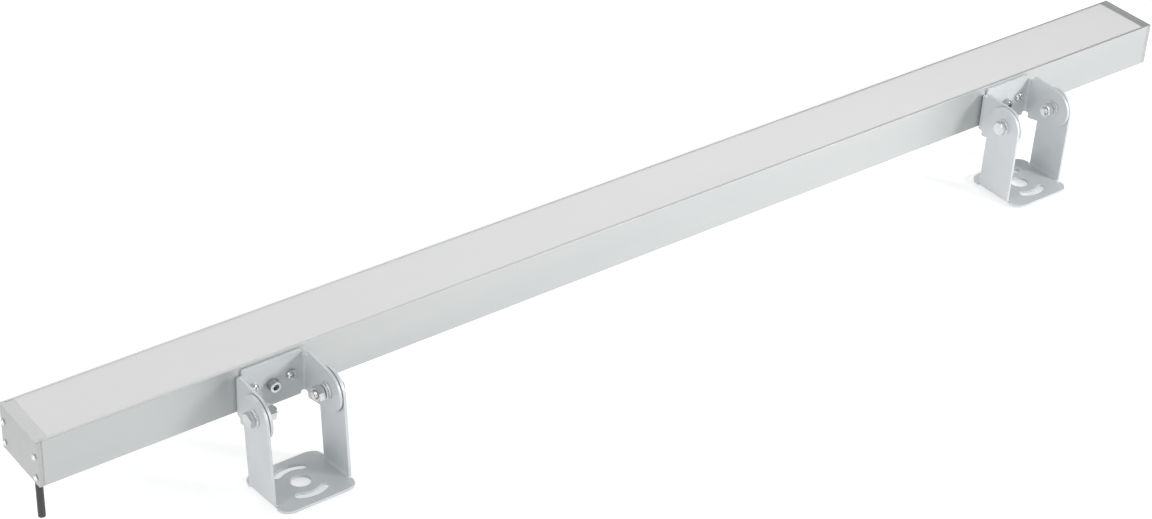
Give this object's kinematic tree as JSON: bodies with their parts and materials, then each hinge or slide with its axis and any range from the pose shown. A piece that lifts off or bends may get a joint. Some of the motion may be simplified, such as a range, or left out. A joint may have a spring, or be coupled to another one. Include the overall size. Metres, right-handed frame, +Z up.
{
  "type": "linear led light fixture",
  "caption": "Slim straight aluminium lamp with a flush opal cover, carried on two-part folded swivel brackets with slotted feet, and a short cable hanging from one end.",
  "frame": {"origin": "on the underside of the right foot bracket, 17 mm to the right of its centre hole, on the face that rests on the mounting surface", "axes": "+X along the lamp to its right end, +Y from the brackets to the lamp's side, +Z up out of the mounting surface towards the cover's side"},
  "size_m": [1.0028, 0.1128, 0.0838],
  "materials": {
    "anodised_profile": "satin anodised, fine lengthwise grain",
    "cap_metal": "satin, fine blasted",
    "opal_cover": "opal, satin",
    "silicone": "matt",
    "bracket_coat": "silver coat, satin, over folded sheet",
    "zinc_steel": "bright zinc plated",
    "washer_nylon": "matt",
    "board_white": "white solder mask",
    "driver_case": "matt",
    "terminal_body": "matt",
    "gland_nylon": "matt",
    "cable_sheath": "satin"
  },
  "bodies": {
    "right_foot": {"foot_bracket_right": "bracket_coat"},
    "lamp": {"housing": "anodised_profile", "diffuser": "opal_cover", "end_cap_left": "cap_metal", "end_cap_right": "cap_metal", "end_gasket_left": "silicone", "end_gasket_right": "silicone", "cap_screw_left_1": "zinc_steel", "cap_screw_left_2": "zinc_steel", "cap_screw_left_3": "zinc_steel", "cap_screw_left_4": "zinc_steel", "cap_screw_right_1": "zinc_steel", "cap_screw_right_2": "zinc_steel", "cap_screw_right_3": "zinc_steel", "cap_screw_right_4": "zinc_steel", "led_board_left": "board_white", "led_board_right": "board_white", "driver": "driver_case", "supply_terminal": "terminal_body", "inner_lead": "cable_sheath", "gland_body": "gland_nylon", "gland_nut": "gland_nylon", "gland_lock_nut": "gland_nylon", "cable": "cable_sheath", "yoke_left": "bracket_coat", "yoke_right": "bracket_coat", "nut_plate_left": "zinc_steel", "nut_plate_right": "zinc_steel", "pan_screw_left_1": "zinc_steel", "pan_screw_left_2": "zinc_steel", "pan_screw_right_1": "zinc_steel", "pan_screw_right_2": "zinc_steel", "socket_screw_left": "zinc_steel", "socket_screw_right": "zinc_steel", "pivot_bolt_left_1": "zinc_steel", "pivot_bolt_left_2": "zinc_steel", "pivot_bolt_right_1": "zinc_steel", "pivot_bolt_right_2": "zinc_steel", "outer_washer_left_1": "zinc_steel", "outer_washer_left_2": "zinc_steel", "outer_washer_right_1": "zinc_steel", "outer_washer_right_2": "zinc_steel", "friction_washer_left_1": "washer_nylon", "friction_washer_left_2": "washer_nylon", "friction_washer_right_1": "washer_nylon", "friction_washer_right_2": "washer_nylon", "inner_washer_left_1": "zinc_steel", "inner_washer_left_2": "zinc_steel", "inner_washer_right_1": "zinc_steel", "inner_washer_right_2": "zinc_steel", "spring_washer_left_1": "zinc_steel", "spring_washer_left_2": "zinc_steel", "spring_washer_right_1": "zinc_steel", "spring_washer_right_2": "zinc_steel", "pivot_nut_left_1": "zinc_steel", "pivot_nut_left_2": "zinc_steel", "pivot_nut_right_1": "zinc_steel", "pivot_nut_right_2": "zinc_steel"},
    "left_foot": {"foot_bracket_left": "bracket_coat"}
  },
  "joints": [
    {"name": "lamp_tilt", "type": "hinge", "parent": "right_foot", "child": "lamp", "pos_m": [-0.017, 0, 0.0624], "axis": [1, 0, 0], "range_deg": [-30, 205]},
    {"name": "left_foot_swivel", "type": "hinge", "parent": "lamp", "child": "left_foot", "pos_m": [-0.686, 0, 0.0624], "axis": [-1, 0, 0], "range_deg": [-35, 199]}
  ]
}
